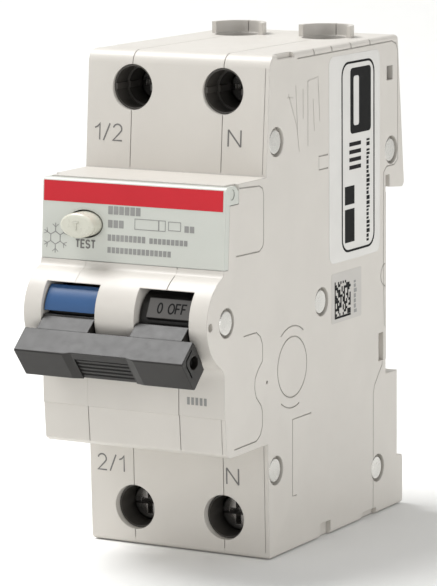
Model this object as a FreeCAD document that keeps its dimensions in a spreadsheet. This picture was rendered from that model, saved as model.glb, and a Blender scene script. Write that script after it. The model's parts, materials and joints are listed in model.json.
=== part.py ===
"""Residual current device, two modules wide, for a 35 mm top-hat rail.

Frame: X to the right, Y from the front face (negative) to the rail (positive), Z up.
The origin is the centre of the seat that rests on the rail.
Every length is in millimetres. The cells of the sheet "Sizes" drive the bodies.
"""

import FreeCAD, Part
import math
import os

import Sketcher

DIMENSIONS = [
    ("width", 35.0, "overall width, two modules"),
    ("height", 85.0, "overall height of the casing"),
    ("shoulder_depth", 44.0, "rail plane to the terminal shoulders"),
    ("nose_depth", 58.6, "rail plane to the front of the nose"),
    ("nose_half_height", 22.5, "half height of the nose"),
    ("wall", 1.4, "casing wall"),
    ("web", 0.9, "half thickness of the wall between the poles"),
    ("pivot_depth", 57.8, "rail plane to the toggle axis"),
    ("pivot_height", 0.15, "height of the toggle axis"),
    ("bulge_radius", 8.0, "round bulge over the toggle drum"),
    ("drum_radius", 6.0, "toggle drum"),
    ("window_near", 3.75, "inner edge of each toggle window"),
    ("window_far", 14.1, "outer edge of each toggle window"),
    ("window_top", 5.6, "top edge of each toggle window"),
    ("toggle_half_width", 16.0, "half length of the toggle bar"),
    ("rivet_radius", 1.75, "casing rivets and toggle shaft"),
    ("head_radius", 2.1, "rivet heads and toggle shaft heads"),
    ("recess_radius", 2.5, "recess round each rivet head"),
    ("recess_depth", 0.9, "depth of those recesses"),
    ("plate_thickness", 1.3, "front label plate"),
    ("plate_top", 22.3, "top edge of the label plate"),
    ("plate_bottom", 8.8, "bottom edge of the label plate"),
    ("button_across", 9.2, "test button, distance left of centre"),
    ("button_height", 14.9, "test button centre height"),
    ("button_half_width", 3.25, "test button half width"),
    ("button_half_height", 2.1, "test button half height"),
    ("button_travel", 1.5, "test button stroke"),
    ("screw_across", 8.75, "terminal screw distance from centre"),
    ("upper_screw", 36.3, "height of the upper terminal screws"),
    ("lower_screw", 36.0, "depth of the lower terminal screws below centre"),
    ("screw_hole", 3.88, "radius of the screwdriver holes"),
    ("shank_radius", 2.5, "terminal screw shank"),
    ("cable_depth", 6.5, "rail plane to the cable axis"),
    ("cable_radius", 4.0, "radius of the cable entries"),
    ("guard_radius", 4.25, "inside radius of the collars over the upper cable entries"),
    ("clip_travel", 3.5, "rail clip stroke"),
    ("clip_thickness", 2.4, "rail clip thickness"),
    ("carrier_depth", 34.0, "rail plane to the contact shaft"),
    ("carrier_height", 8.0, "height of the contact shaft"),
    ("arm_reach", 16.9, "contact shaft to the tip of a contact arm"),
    ("coil_depth", 19.7, "rail plane to the middle of the magnet coil"),
    ("coil_height", 17.0, "height of the magnet coil axis"),
    ("lever_depth", 38.5, "rail plane to the trip lever axis"),
    ("lever_height", 23.5, "height of the trip lever axis"),
    ("toroid_depth", 15.0, "rail plane to the centre of the core balance ring"),
    ("toroid_drop", 17.5, "drop of the core balance ring below centre"),
    ("bar_thickness", 1.2, "thickness of the copper bars"),
]

PARTS_FOLDER = "parts"
RIVETS = [(-40.5, 28.05), (2.0, 22.25), (-24.55, -1.14), (-41.2, -27.5)]
BLIND_PIN = (-3.35, -34.25)
NOSE_STEP = -15.75
FOOT_STEP = 0.18
BULGE_AXIS = (-56.3, 0.2)
DISC = (-35.3, -10.7)
BAR_EDGE = (-69.9, -4.95)   # front edge of the face that a finger pushes
BAR_FOOT = (-66.2, -9.6)    # foot of that face
GRIP_HALF = 5.1             # half length of the grooved part of the bar
GRIP_HOLLOW = 0.42          # how far that part lies back from the face
LONG_CORNER = 0.7           # rounding of the casing corners that run back to the rail
SIDES = (("left", -1), ("right", 1))

doc = FreeCAD.newDocument("residual_current_device")
sheet = doc.addObject("Spreadsheet::Sheet", "Sizes")
made = []


class Size:
    """A length that remembers the sheet formula it comes from."""

    def __init__(self, value, formula):
        self.value = value
        self.formula = formula

    def __add__(self, other):
        return Size(self.value + plain(other), "(%s + %s)" % (self.formula, formula_of(other)))

    def __radd__(self, other):
        return self + other

    def __sub__(self, other):
        return Size(self.value - plain(other), "(%s - %s)" % (self.formula, formula_of(other)))

    def __rsub__(self, other):
        return -self + other

    def __mul__(self, other):
        return Size(self.value * plain(other), "(%s * %s)" % (self.formula, formula_of(other)))

    def __rmul__(self, other):
        return self * other

    def __truediv__(self, other):
        return Size(self.value / plain(other), "(%s / %s)" % (self.formula, formula_of(other)))

    def __neg__(self):
        return Size(-self.value, "(0 - %s)" % self.formula)


def plain(length):
    """The number behind a length."""
    return length.value if isinstance(length, Size) else float(length)


def formula_of(length):
    """The sheet formula of a length, or the number itself."""
    return length.formula if isinstance(length, Size) else "%.5f" % length


def bind(target, prop, length):
    """Tie one property to the sheet when the length comes from it."""
    if isinstance(length, Size):
        target.setExpression(prop, length.formula)
        return
    *path, last = prop.split(".")
    if path:
        placement = target.getPropertyByName(path[0])
        setattr(placement.Base, last, plain(length))
        setattr(target, path[0], placement)
    else:
        setattr(target, last, plain(length))


def fill_sheet():
    """Write every driving dimension into its own row and return them by name."""
    sizes = {}
    for row, (alias, value, meaning) in enumerate(DIMENSIONS, start=1):
        sheet.set("A%d" % row, alias)
        sheet.set("B%d" % row, str(value))
        sheet.set("C%d" % row, meaning)
        sheet.setAlias("B%d" % row, alias)
        sizes[alias] = Size(value, "Sizes." + alias)
    return sizes


PLANES = {"XY": "XY_Plane", "XZ": "XZ_Plane", "YZ": "YZ_Plane"}
TURNS = {
    "X": FreeCAD.Rotation(FreeCAD.Vector(0, 1, 0), 90),
    "Y": FreeCAD.Rotation(FreeCAD.Vector(1, 0, 0), -90),
    "Z": FreeCAD.Rotation(),
}


class SubPart:
    """One named piece: a body that grows by pads, rods, boxes and their cuts."""

    def __init__(self, name):
        self.name = name
        self.body = doc.addObject("PartDesign::Body", name)
        self.body.Label = name
        self.body.AllowCompound = True
        made.append(self)

    def sketch(self, plane, start):
        """An empty sketch on an origin plane, moved along its normal to start."""
        drawing = self.body.newObject("Sketcher::SketchObject", self.name + "_sketch")
        origin = self.body.Origin.OriginFeatures
        face = [item for item in origin if item.Role == PLANES[plane]][0]
        drawing.AttachmentSupport = [(face, "")]
        drawing.MapMode = "FlatFace"
        bind(drawing, "AttachmentOffset.Base.z", start)
        return drawing

    def grow(self, drawing, length, cut):
        """Pad or pocket a sketch along the normal of its plane."""
        kind = "PartDesign::Pocket" if cut else "PartDesign::Pad"
        feature = self.body.newObject(kind, self.name + ("_pocket" if cut else "_pad"))
        feature.Profile = drawing
        bind(feature, "Length", length)
        feature.Reversed = bool(cut)
        drawing.Visibility = False
        return feature

    def prism(self, plane, outline, start, end, cut=False, place=None):
        """A straight prism over a closed outline; place may move its plane somewhere of its own."""
        if plane == "XZ":
            start, end = -end, -start
        drawing = self.sketch(plane, start)
        if place:
            drawing.AttachmentOffset = place
        count = len(outline)
        for index, (across, up) in enumerate(outline):
            next_across, next_up = outline[(index + 1) % count]
            begin = FreeCAD.Vector(plain(across), plain(up), 0)
            finish = FreeCAD.Vector(plain(next_across), plain(next_up), 0)
            drawing.addGeometry(Part.LineSegment(begin, finish))
        for index in range(count):
            joint = Sketcher.Constraint("Coincident", index, 2, (index + 1) % count, 1)
            drawing.addConstraint(joint)
        for index, (across, up) in enumerate(outline):
            self.tie(drawing, "DistanceX", (-1, 1, index, 1), across)
            self.tie(drawing, "DistanceY", (-1, 1, index, 1), up)
        return self.grow(drawing, end - start, cut)

    def oval(self, plane, centre, half_width, half_height, start, end, cut=False):
        """A straight elliptical prism."""
        if plane == "XZ":
            start, end = -end, -start
        drawing = self.sketch(plane, start)
        across, up = plain(centre[0]), plain(centre[1])
        side = FreeCAD.Vector(across + plain(half_width), up, 0)
        top = FreeCAD.Vector(across, up + plain(half_height), 0)
        tall = plain(half_height) > plain(half_width)
        ends = (top, side) if tall else (side, top)
        drawing.addGeometry(Part.Ellipse(*ends, FreeCAD.Vector(across, up, 0)))
        drawing.exposeInternalGeometry(0)
        self.tie(drawing, "DistanceX", (-1, 1, 0, 3), centre[0])
        self.tie(drawing, "DistanceY", (-1, 1, 0, 3), centre[1])
        drawing.addConstraint(Sketcher.Constraint("Vertical" if tall else "Horizontal", 1))
        longer, shorter = (half_height, half_width) if tall else (half_width, half_height)
        self.tie(drawing, "Distance", (1, 1, 1, 2), longer * 2)
        self.tie(drawing, "Distance", (2, 1, 2, 2), shorter * 2)
        return self.grow(drawing, end - start, cut)

    @staticmethod
    def tie(drawing, kind, places, length):
        """One driving sketch dimension, bound to the sheet when it can be."""
        number = drawing.addConstraint(Sketcher.Constraint(kind, *places, plain(length)))
        if isinstance(length, Size):
            drawing.setExpression("Constraints[%d]" % number, length.formula)

    def box(self, across, depth, up, cut=False):
        """An upright box given by its three pairs of limits."""
        kind = "PartDesign::SubtractiveBox" if cut else "PartDesign::AdditiveBox"
        feature = self.body.newObject(kind, self.name + "_box")
        limits = (across, depth, up)
        for prop, axis, (low, high) in zip(("Length", "Width", "Height"), "xyz", limits):
            bind(feature, prop, high - low)
            bind(feature, "Placement.Base." + axis, low)
        return feature

    def rod(self, axis, centre, radius, start, end, cut=False):
        """A cylinder along one axis; centre holds the other two coordinates in order."""
        kind = "PartDesign::SubtractiveCylinder" if cut else "PartDesign::AdditiveCylinder"
        feature = self.body.newObject(kind, self.name + "_rod")
        bind(feature, "Radius", radius)
        bind(feature, "Height", end - start)
        feature.Placement = FreeCAD.Placement(FreeCAD.Vector(), TURNS[axis])
        first, second = centre
        corner = {"X": (start, first, second), "Y": (first, start, second), "Z": (first, second, start)}
        for letter, length in zip("xyz", corner[axis]):
            bind(feature, "Placement.Base." + letter, length)
        return feature

    def ring(self, axis, centre, outer, inner, start, end):
        """A tube."""
        self.rod(axis, centre, outer, start, end)
        self.rod(axis, centre, inner, start, end, cut=True)

    def soften(self, radius, wanted, kind="PartDesign::Fillet"):
        """Round or chamfer the edges of the latest shape that the test picks out."""
        doc.recompute()
        base = self.body.Tip
        names = []
        for number, edge in enumerate(base.Shape.Edges, start=1):
            if wanted(edge):
                names.append("Edge%d" % number)
        if not names:
            raise ValueError("no edge to soften on " + self.name)
        feature = self.body.newObject(kind, self.name + "_edge")
        feature.Base = (base, names)
        bind(feature, "Radius" if kind.endswith("Fillet") else "Size", radius)
        return feature


def along_x(*places):
    """A test for edges that run along X through one of the given (Y, Z) places."""
    def wanted(edge):
        ends = [vertex.Point for vertex in edge.Vertexes]
        if len(ends) != 2 or abs(ends[0].x - ends[1].x) < 0.5:
            return False
        for depth, up in places:
            if all(abs(end.y - depth) < 0.02 and abs(end.z - up) < 0.02 for end in ends):
                return True
        return False
    return wanted


def circle_at(axis, level, radius):
    """A test for round edges of one radius that lie at one level of an axis."""
    def wanted(edge):
        curve = edge.Curve
        if not isinstance(curve, Part.Circle) or abs(curve.Radius - radius) > 0.01:
            return False
        return abs(getattr(curve.Center, axis) - level) < 0.01
    return wanted


def flat_at(axis, level):
    """A test for every edge that lies wholly at one level of an axis."""
    def wanted(edge):
        box = edge.BoundBox
        low, high = getattr(box, axis.upper() + "Min"), getattr(box, axis.upper() + "Max")
        return abs(low - level) < 0.01 and abs(high - level) < 0.01
    return wanted


def span(side, near, far):
    """Limits along X of something that lies between near and far on one side."""
    return (near, far) if side > 0 else (-far, -near)


def fan(first, last, reach):
    """Corners of a wedge about the toggle axis; angles rise from straight ahead."""
    steps = max(2, int(abs(last - first) / 30.0) + 1)
    corners = [(-size["pivot_depth"], size["pivot_height"])]
    for step in range(steps + 1):
        angle = math.radians(first + (last - first) * step / steps)
        depth = -size["pivot_depth"] - reach * math.cos(angle)
        corners.append((depth, size["pivot_height"] + reach * math.sin(angle)))
    return corners


size = fill_sheet()
half_width = size["width"] / 2
half_height = size["height"] / 2
split = size["width"] / 4
shoulder = -size["shoulder_depth"]
nose = -size["nose_depth"]
nose_top = size["nose_half_height"]
inside = half_width - size["wall"]
pivot = (-size["pivot_depth"], size["pivot_height"])
screw_levels = (("upper", size["upper_screw"], 1), ("lower", -size["lower_screw"], -1))


def casing_outline():
    """Side outline of the casing: shoulders, nose, rail channel, hook and rear block."""
    return [
        (shoulder + 1.6, half_height),
        (shoulder, nose_top),
        (nose + 2.4, nose_top),
        (nose + 1.5, size["plate_bottom"]),
        (nose, size["plate_bottom"]),
        (nose, NOSE_STEP),
        (nose + FOOT_STEP, NOSE_STEP - 0.05),
        (nose + 0.6, -nose_top + 0.65),
        (nose + 1.7, -nose_top),
        (shoulder, -nose_top),
        (shoulder + 0.45, -half_height),
        (6.5, -half_height),
        (6.5, -33.4),
        (4.3, -33.4),
        (4.3, -17.7),
        (-0.2, -17.7),
        (-0.2, -15.0),
        (0.0, -15.0),
        (0.0, 14.9),
        (-0.2, 14.9),
        (-0.2, 17.95),
        (1.4, 17.95),
        (1.4, 15.7),
        (7.2, 15.1),
        (4.5, half_height),
    ]


def cavity_outline():
    """Side outline of the hollow inside the casing."""
    wall = size["wall"]
    return [
        (shoulder + wall + 1.6, half_height - wall),
        (shoulder + wall, nose_top - wall),
        (nose + wall + 2.4, nose_top - wall),
        (nose + wall + 1.6, size["plate_bottom"] - 0.8),
        (nose + wall, size["plate_bottom"] - 0.8),
        (nose + wall, NOSE_STEP + 0.2),
        (nose + wall + 0.7, -nose_top + wall),
        (shoulder + wall, -nose_top + wall),
        (shoulder + wall + 0.45, -half_height + wall),
        (0.5, -half_height + wall),
        (0.5, -28.5),
        (-1.6, -28.5),
        (-1.6, 19.4),
        (3.0, 19.4),
        (3.0, half_height - wall),
    ]


def strip(path, under, over):
    """Closed outline of a thin strip that follows a path, reaching under it and over it."""
    below, above = [], []
    for index, (across, up) in enumerate(path):
        before = path[max(index - 1, 0)]
        after = path[min(index + 1, len(path) - 1)]
        run = (plain(after[0]) - plain(before[0]), plain(after[1]) - plain(before[1]))
        length = math.hypot(*run)
        normal = (-run[1] / length, run[0] / length)
        below.append((across - normal[0] * under, up - normal[1] * under))
        above.append((across + normal[0] * over, up + normal[1] * over))
    return above + list(reversed(below))


def arc(centre, radius, first, last, steps):
    """Points along a circular arc; angles in degrees from +Y towards +Z."""
    points = []
    for step in range(steps + 1):
        angle = math.radians(first + (last - first) * step / steps)
        points.append((centre[0] + radius * math.cos(angle), centre[1] + radius * math.sin(angle)))
    return points


def front_paths():
    """Paths up the front of the lower shoulder, the upper shoulder and the foot of the nose."""
    lower = [(shoulder + 0.42, -half_height + 1.2), (shoulder + 0.01, -nose_top - 0.3)]
    upper = [(shoulder + 0.03, nose_top + 0.4), (shoulder + 1.43, half_height - 2.1)]
    foot = [(nose + 0.58, -nose_top + 0.75), (nose + FOOT_STEP, NOSE_STEP - 0.05)]
    return lower, upper, foot


def joint_grooves(part, side):
    """Fine grooves down the front and the collar, where a side shell meets the centre housing."""
    low, high = span(side, split, split + 0.12)
    lower, upper, foot = front_paths()
    crown = arc((shoulder + 3.72, half_height - 2.3), 2.3, 175.0, 90.0, 6)
    paths = [lower, upper[:1] + crown + [(-13.0, half_height)], foot]
    if side > 0:
        paths.append([(nose, NOSE_STEP), (nose, -9.5)])
        paths.append(arc(BULGE_AXIS, size["bulge_radius"], 137.0, 117.0, 3)
                     + [(nose - 0.5, 8.1), (nose, 8.9)])
    for path in paths:
        part.prism("YZ", strip(path, 0.22, 0.5), low, high, cut=True)
    collar = (-size["cable_depth"] - 6.0, -size["cable_depth"] + 6.0)
    part.box((low, high), collar, (half_height + 0.05, half_height + 3.0), cut=True)


def edge_grooves(part):
    """Shallower grooves beside the right edge of the front, round the side cover."""
    low, high = half_width - 0.84, half_width - 0.76
    for path in front_paths():
        part.prism("YZ", strip(path, 0.15, 0.5), low, high, cut=True)


def casing_blank(part, low, high):
    """The outside of the casing between two planes across X."""
    part.prism("YZ", casing_outline(), low, high)
    part.rod("X", BULGE_AXIS, size["bulge_radius"], low, high)
    front = nose.value
    crest = math.sqrt(size["bulge_radius"].value ** 2 - (BULGE_AXIS[0] - front) ** 2)
    part.soften(1.1, along_x((front, BULGE_AXIS[1] + crest)))
    part.soften(2.5, along_x((front, BULGE_AXIS[1] - crest)))
    top = half_height.value
    part.soften(2.3, along_x((shoulder.value + 1.6, top)))
    part.soften(0.8, along_x((shoulder.value + 0.45, -top), (6.5, -top), (6.5, -33.4), (4.5, top)))
    part.soften(0.5, along_x((front + 0.6, -nose_top.value + 0.65), (front + 1.7, -nose_top.value)))
    part.soften(1.0, along_x((7.2, 15.1)))


def round_long_corners(part, side):
    """Round the two outer corners of a shell that run from the front to the rail."""
    for up in (1, -1):
        middle = (side * (half_width.value - LONG_CORNER), up * (half_height.value - LONG_CORNER))
        first = 0.0 if side > 0 else 180.0
        curve = arc(middle, LONG_CORNER, first, first + 90.0 * side * up, 5)
        far_across, far_up = side * (half_width.value + 1.0), up * (half_height.value + 1.0)
        outside = [(middle[0], far_up), (far_across, far_up), (far_across, middle[1])]
        part.prism("XZ", curve + outside, -46.0, 8.0, cut=True)


def cut_front(part, side):
    """Toggle window and drum room, screwdriver holes and cable entries of one side."""
    low, high = span(side, size["window_near"], size["window_far"])
    part.box((low, high), (-66.0, -56.9), (-6.4, size["window_top"]), cut=True)
    part.rod("X", pivot, size["drum_radius"] + 0.35, low, high, cut=True)
    screw_x = side * size["screw_across"]
    for _, level, up in screw_levels:
        part.rod("Y", (screw_x, level), size["screw_hole"], -46.0, -40.0, cut=True)
        end = up * half_height
        start, finish = (end - 2.0, end) if up > 0 else (end, end + 2.0)
        entry = (screw_x, -size["cable_depth"])
        part.rod("Z", entry, size["cable_radius"], start, finish, cut=True)
        if up > 0:
            part.rod("Z", entry, size["guard_radius"], end, end + 3.0, cut=True)


def cable_guard(part, side, low, high):
    """Half-round collar behind an upper cable entry, kept between two planes across X."""
    entry = (side * size["screw_across"], -size["cable_depth"])
    top = half_height
    part.rod("Z", entry, size["guard_radius"] + 0.9, top - 1.0, top + 2.1)
    part.box((low, high), (-size["cable_depth"] - 6.0, -size["cable_depth"]), (top, top + 3.0), cut=True)


def button_opening(part, start, end, extra):
    """Elliptical opening for the test button."""
    centre = (-size["button_across"], size["button_height"])
    part.oval("XZ", centre, size["button_half_width"] + extra, size["button_half_height"] + extra,
              start, end, cut=True)


def shaft_holes(part, low, high):
    """Holes for the rivets and the toggle shaft between two planes across X."""
    for place in RIVETS + [pivot]:
        part.rod("X", place, size["rivet_radius"] + 0.05, low, high, cut=True)


def clip_slot(part, side, post):
    """Channel for one rail clip; post gives the limits of the ledge for its spring."""
    middle = side * size["screw_across"]
    low, high = middle - 3.1, middle + 3.1
    back = 1.05 + size["clip_thickness"] + 0.2
    part.box((low, high), (1.05, back), (-half_height - 1.0, -17.0), cut=True)
    part.box((middle - 1.7, middle + 1.7), (back - 0.1, 7.0), (-half_height - 1.0, -36.0), cut=True)
    post_low, post_high = span(side, *post)
    part.box((post_low, post_high), (0.9, back + 0.2), (-32.2, -31.2))


def side_shell(name, side):
    """Outer third of the casing."""
    part = SubPart(name)
    low, high = span(side, split, half_width)
    casing_blank(part, low, high)
    outer_low, outer_high = span(side, split - 8.0, split)
    cable_guard(part, side, *span(side, split - 8.0, split + 8.0))
    part.box((outer_low, outer_high), (-14.0, 1.0), (half_height - 1.2, half_height + 3.0), cut=True)
    hollow_low, hollow_high = span(side, split, inside)
    part.prism("YZ", cavity_outline(), hollow_low, hollow_high, cut=True)
    round_long_corners(part, side)
    cut_front(part, side)
    button_opening(part, -60.0, -54.0, 0.25)
    shaft_holes(part, *span(side, split, half_width + 1.0))
    recess_low, recess_high = span(side, half_width - size["recess_depth"], half_width + 1.0)
    for place in RIVETS + [BLIND_PIN, pivot]:
        part.rod("X", place, size["recess_radius"], recess_low, recess_high, cut=True)
    blind_low, blind_high = span(side, inside - 1.0, half_width + 1.0)
    part.rod("X", BLIND_PIN, size["rivet_radius"] + 0.05, blind_low, blind_high, cut=True)
    clip_slot(part, side, (split, split + 1.05))
    ear_low, ear_high = span(side, half_width - 0.9, half_width + 1.0)
    part.box((ear_low, ear_high), (-58.0, -53.4), (19.2, 24.0), cut=True)
    joint_grooves(part, side)
    if side > 0:
        edge_grooves(part)
    side_details(part, side)
    return part


def side_lines():
    """Paths of the fine lines moulded into the flat side of each shell."""
    rear_panel = [(-33.0, 41.3), (2.3, 41.5), (3.9, 40.9), (4.6, 39.6), (4.6, 20.4), (3.2, 19.5),
                  (0.2, 19.5), (-0.9, 18.6), (-1.1, 2.3), (-0.7, -9.0)]
    upper_panel = [(-53.3, 21.8), (-46.6, 21.4), (-45.4, 20.9), (-45.0, 19.9), (-45.1, 11.9),
                   (-45.5, 11.1), (-46.6, 10.5), (-54.4, 10.7)]
    lower_panel = [(-52.1, -2.9), (-47.8, -2.9), (-46.4, -3.8), (-45.7, -5.2), (-45.7, -8.0),
                   (-47.3, -9.3), (-48.3, -10.6), (-48.5, -12.2), (-48.0, -13.8), (-46.3, -15.5),
                   (-45.9, -16.5), (-45.9, -19.0), (-46.6, -20.4), (-48.0, -21.2), (-55.5, -21.3)]
    window = [(-28.5, -19.8), (-35.3, -19.8), (-35.4, -33.1), (-33.9, -33.1)]
    tab = [(-22.1, 24.0), (-25.4, 24.0), (-25.4, 21.7), (-22.1, 21.7)]
    foot_panel = [(-1.5, -15.2), (-1.6, -15.8), (-4.6, -19.1), (-5.05, -20.6), (-5.15, -41.4)]
    return [rear_panel, upper_panel, lower_panel, foot_panel, window, tab,
            arc(DISC, 7.0, 55.0, 125.0, 6), arc(DISC, 7.0, 235.0, 290.0, 6),
            arc((0.0, 0.2), 2.1, 100.0, 260.0, 6)]


def side_details(part, side):
    """Shallow marks moulded into the flat side: fine lines, a disc, notches and ticks."""
    skin_low, skin_high = span(side, half_width - 0.2, half_width + 1.0)
    deep_low, deep_high = span(side, half_width - 0.9, half_width + 1.0)
    for path in side_lines():
        part.prism("YZ", strip(path, 0.09, 0.09), skin_low, skin_high, cut=True)
    part.rod("X", DISC, 5.3, skin_low, skin_high, cut=True)
    part.rod("X", DISC, 5.1, *span(side, half_width - 0.5, half_width))
    hole_low, hole_high = span(side, inside - 0.5, half_width + 1.0)
    part.box((hole_low, hole_high), (0.25, 2.6), (34.7, 37.2), cut=True)
    part.box((deep_low, deep_high), (-3.0, -1.1), (-15.0, -10.0), cut=True)
    for place, radius in (((-63.1, 0.2), 0.7), ((-44.2, -11.9), 0.3)):
        part.rod("X", place, radius, deep_low, deep_high, cut=True)
    part.box((deep_low, deep_high), (-40.0, -34.1), (half_height - 0.9, half_height + 1.0), cut=True)
    tick_low, tick_high = span(side, half_width - 0.35, half_width + 1.0)
    for depth in (-27.0, -20.5, -13.4, -6.2):
        part.box((tick_low, tick_high), (depth - 0.15, depth + 0.15),
                 (half_height - 1.0, half_height + 1.0), cut=True)
    part.box((deep_low, deep_high), (-25.4, -21.5), (-half_height - 1.0, -half_height + 2.5), cut=True)
    part.box((deep_low, deep_high), (-9.6, -4.0), (-half_height - 1.0, -half_height + 1.2), cut=True)


def centre_housing():
    """Middle third of the casing, with the web that parts the two poles."""
    part = SubPart("centre_housing")
    casing_blank(part, -split, split)
    for _, side in SIDES:
        cable_guard(part, side, *span(side, split - 8.0, split + 8.0))
        part.box(span(side, split, split + 8.0), (-14.0, 1.0), (half_height - 1.2, half_height + 3.0),
                 cut=True)
        part.prism("YZ", cavity_outline(), *span(side, size["web"], split), cut=True)
        cut_front(part, side)
        clip_slot(part, side, (split - 1.05, split))
    button_opening(part, -60.0, -54.0, 0.25)
    shaft_holes(part, -split, split)
    carrier = (-size["carrier_depth"], size["carrier_height"])
    part.rod("X", carrier, 2.75, -2.0, 2.0, cut=True)
    part.rod("X", (-size["lever_depth"], size["lever_height"]), 1.3, -2.0, 2.0, cut=True)
    part.rod("X", (-size["toroid_depth"], -size["toroid_drop"]), 3.4, -2.0, 2.0, cut=True)
    return part


def label_plate():
    """Snap-on front plate with an ear at each end."""
    part = SubPart("label_plate")
    thick = size["plate_thickness"]
    top, bottom = size["plate_top"], size["plate_bottom"]
    front_top, front_bottom = nose + 1.05, nose + 0.15
    outline = [
        (front_top, top),
        (front_top + thick, top),
        (front_bottom + thick, bottom + 0.05),
        (front_bottom, bottom + 0.05),
    ]
    part.prism("YZ", outline, -half_width, half_width)
    part.soften(0.8, along_x((front_top.value, top.value)))
    ear = [
        (front_top + thick - 0.4, top),
        (-54.6, top),
        (-53.5, top - 1.0),
        (-53.5, 19.3),
        (-56.6, 19.3),
    ]
    for _, side in SIDES:
        low, high = span(side, half_width - 0.8, half_width)
        part.prism("YZ", ear, low, high)
        part.rod("X", (-55.65, 21.0), 0.9, *span(side, half_width - 0.15, half_width + 1.0), cut=True)
    button_opening(part, -60.0, -54.0, 0.25)
    return part


def test_button():
    """Domed elliptical button with a retaining flange and a stem."""
    part = SubPart("test_button")
    centre = (-size["button_across"], size["button_height"])
    width, height = size["button_half_width"], size["button_half_height"]
    part.oval("XZ", centre, width, height, -60.9, -54.4)
    part.soften(0.6, flat_at("y", -60.9))
    part.oval("XZ", centre, width + 0.9, height + 0.8, -54.7, -54.0)
    part.rod("Y", centre, 0.9, -54.2, -51.9)
    part.box((centre[0] - 0.55, centre[0] + 0.55), (-61.05, -60.7), (centre[1] + 0.5, centre[1] + 0.75))
    part.box((centre[0] - 0.13, centre[0] + 0.13), (-61.05, -60.7), (centre[1] - 0.75, centre[1] + 0.6))
    return part


def test_contact():
    """Springy strip that the test button presses."""
    part = SubPart("test_contact")
    across, up = -size["button_across"], size["button_height"]
    travel = size["button_travel"]
    part.box((across - 1.5, -size["web"]), (-51.9 + travel, -51.6 + travel), (up - 1.0, up + 1.0))
    return part


def toggle_arm():
    """Side outline of the arm between the drum and the bar."""
    return [
        (-62.6, 0.1), (-63.8, 0.05), (-66.2, -1.8), (-65.6, -2.3), (-63.4, -5.5),
        (-63.2, -6.1), (-61.2, -5.2), (-60.5, -2.0),
    ]


def facet(angle, reach, depth, half_length):
    """Corners of a flat pad on the drum whose face stands at one reach from the axis."""
    ahead = (-math.cos(angle), math.sin(angle))
    along = (math.sin(angle), math.cos(angle))
    corners = []
    for out, shift in ((reach, -half_length), (reach, half_length),
                       (reach - depth, half_length), (reach - depth, -half_length)):
        corners.append((pivot[0] + (ahead[0] * out + along[0] * shift),
                        pivot[1] + (ahead[1] * out + along[1] * shift)))
    return corners


def toggle_side(name, side):
    """Drum and arm of the toggle on one side."""
    part = SubPart(name)
    low, high = span(side, size["window_near"] + 0.25, size["window_far"] - 0.25)
    if side < 0:
        part.rod("X", pivot, size["drum_radius"], low, high)
        part.prism("YZ", fan(2.0, 108.0, 12.0), low, high, cut=True)
        part.rod("X", pivot, 4.2, low, high)
        part.rod("X", link_start(), 0.65, high - 2.6, high + 1.0, cut=True)
    else:
        part.rod("X", pivot, size["drum_radius"] - 1.1, low, high)
        part.prism("YZ", facet(math.radians(27.0), 5.55, 2.0, 1.75), low + 1.6, high)
    part.prism("YZ", toggle_arm(), low, high)
    part.rod("X", pivot, size["rivet_radius"] + 0.05, low, high, cut=True)
    return part


def finger_spot(reach, depth):
    """A point some way down the face that a finger pushes, and some way in from it."""
    slope = math.atan2(BAR_EDGE[1] - BAR_FOOT[1], BAR_FOOT[0] - BAR_EDGE[0])
    return (BAR_EDGE[0] + reach * math.cos(slope) + depth * math.sin(slope),
            BAR_EDGE[1] - reach * math.sin(slope) + depth * math.cos(slope))


def finger_plane(reach):
    """Where a sketch stands across the finger face, its second axis going in from the face."""
    lean = math.degrees(math.atan2(BAR_FOOT[0] - BAR_EDGE[0], BAR_EDGE[1] - BAR_FOOT[1]))
    return FreeCAD.Placement(FreeCAD.Vector(0, *finger_spot(reach, 0.0)),
                             FreeCAD.Rotation(FreeCAD.Vector(1, 0, 0), lean))


def toggle_bar():
    """Bar that a finger pushes, hollowed in the middle and grooved there for grip."""
    part = SubPart("toggle_bar")
    wide = size["toggle_half_width"]
    outline = [(-66.25, -1.75), BAR_EDGE, BAR_FOOT, (-65.7, -9.6),
               (-62.7, -6.8), (-63.2, -6.1), (-63.4, -5.5), (-65.6, -2.3), (-66.2, -1.8)]
    part.prism("YZ", outline, -wide, wide)
    part.soften(0.25, along_x(BAR_EDGE))
    past_foot, outside = 8.0, -0.5
    floor = GRIP_HALF + 0.2
    hollow = [(-8.6, outside), (8.6, outside), (floor, GRIP_HOLLOW), (-floor, GRIP_HOLLOW)]
    part.prism("XY", hollow, 0.0, past_foot + 3.0, cut=True, place=finger_plane(past_foot))
    groove = 0.22
    bottom = GRIP_HOLLOW + groove
    first_groove, pitch = 1.75, 4.0 * groove
    pocket = [(-GRIP_HALF, outside), (GRIP_HALF, outside), (GRIP_HALF, bottom), (-GRIP_HALF, bottom)]
    part.prism("XY", pocket, 0.0, past_foot - first_groove + groove, cut=True,
               place=finger_plane(past_foot))
    for step in range(5):
        centre = finger_spot(first_groove + pitch * step, bottom)
        part.rod("X", centre, groove, -GRIP_HALF, GRIP_HALF, cut=True)
    rim = [(-66.6, -3.0), (-68.3, -4.5), (-68.3, -5.4), (-66.6, -7.5)]
    for _, side in SIDES:
        low, high = span(side, wide - 1.2, wide + 1.0)
        part.oval("YZ", (-65.95, -5.2), 1.35, 1.1, low, high, cut=True)
        part.prism("YZ", strip(rim, 0.14, 0.14), *span(side, wide - 0.4, wide + 1.0), cut=True)
    return part


def heads(part, place, end):
    """Slightly rounded heads at both ends of a rivet or shaft that reaches from -end to end."""
    base = half_width - size["recess_depth"] + 0.05
    for _, side in SIDES:
        part.rod("X", place, size["head_radius"], *span(side, base, end))
        part.soften(0.25, circle_at("x", side * end.value, size["head_radius"].value))


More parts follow.
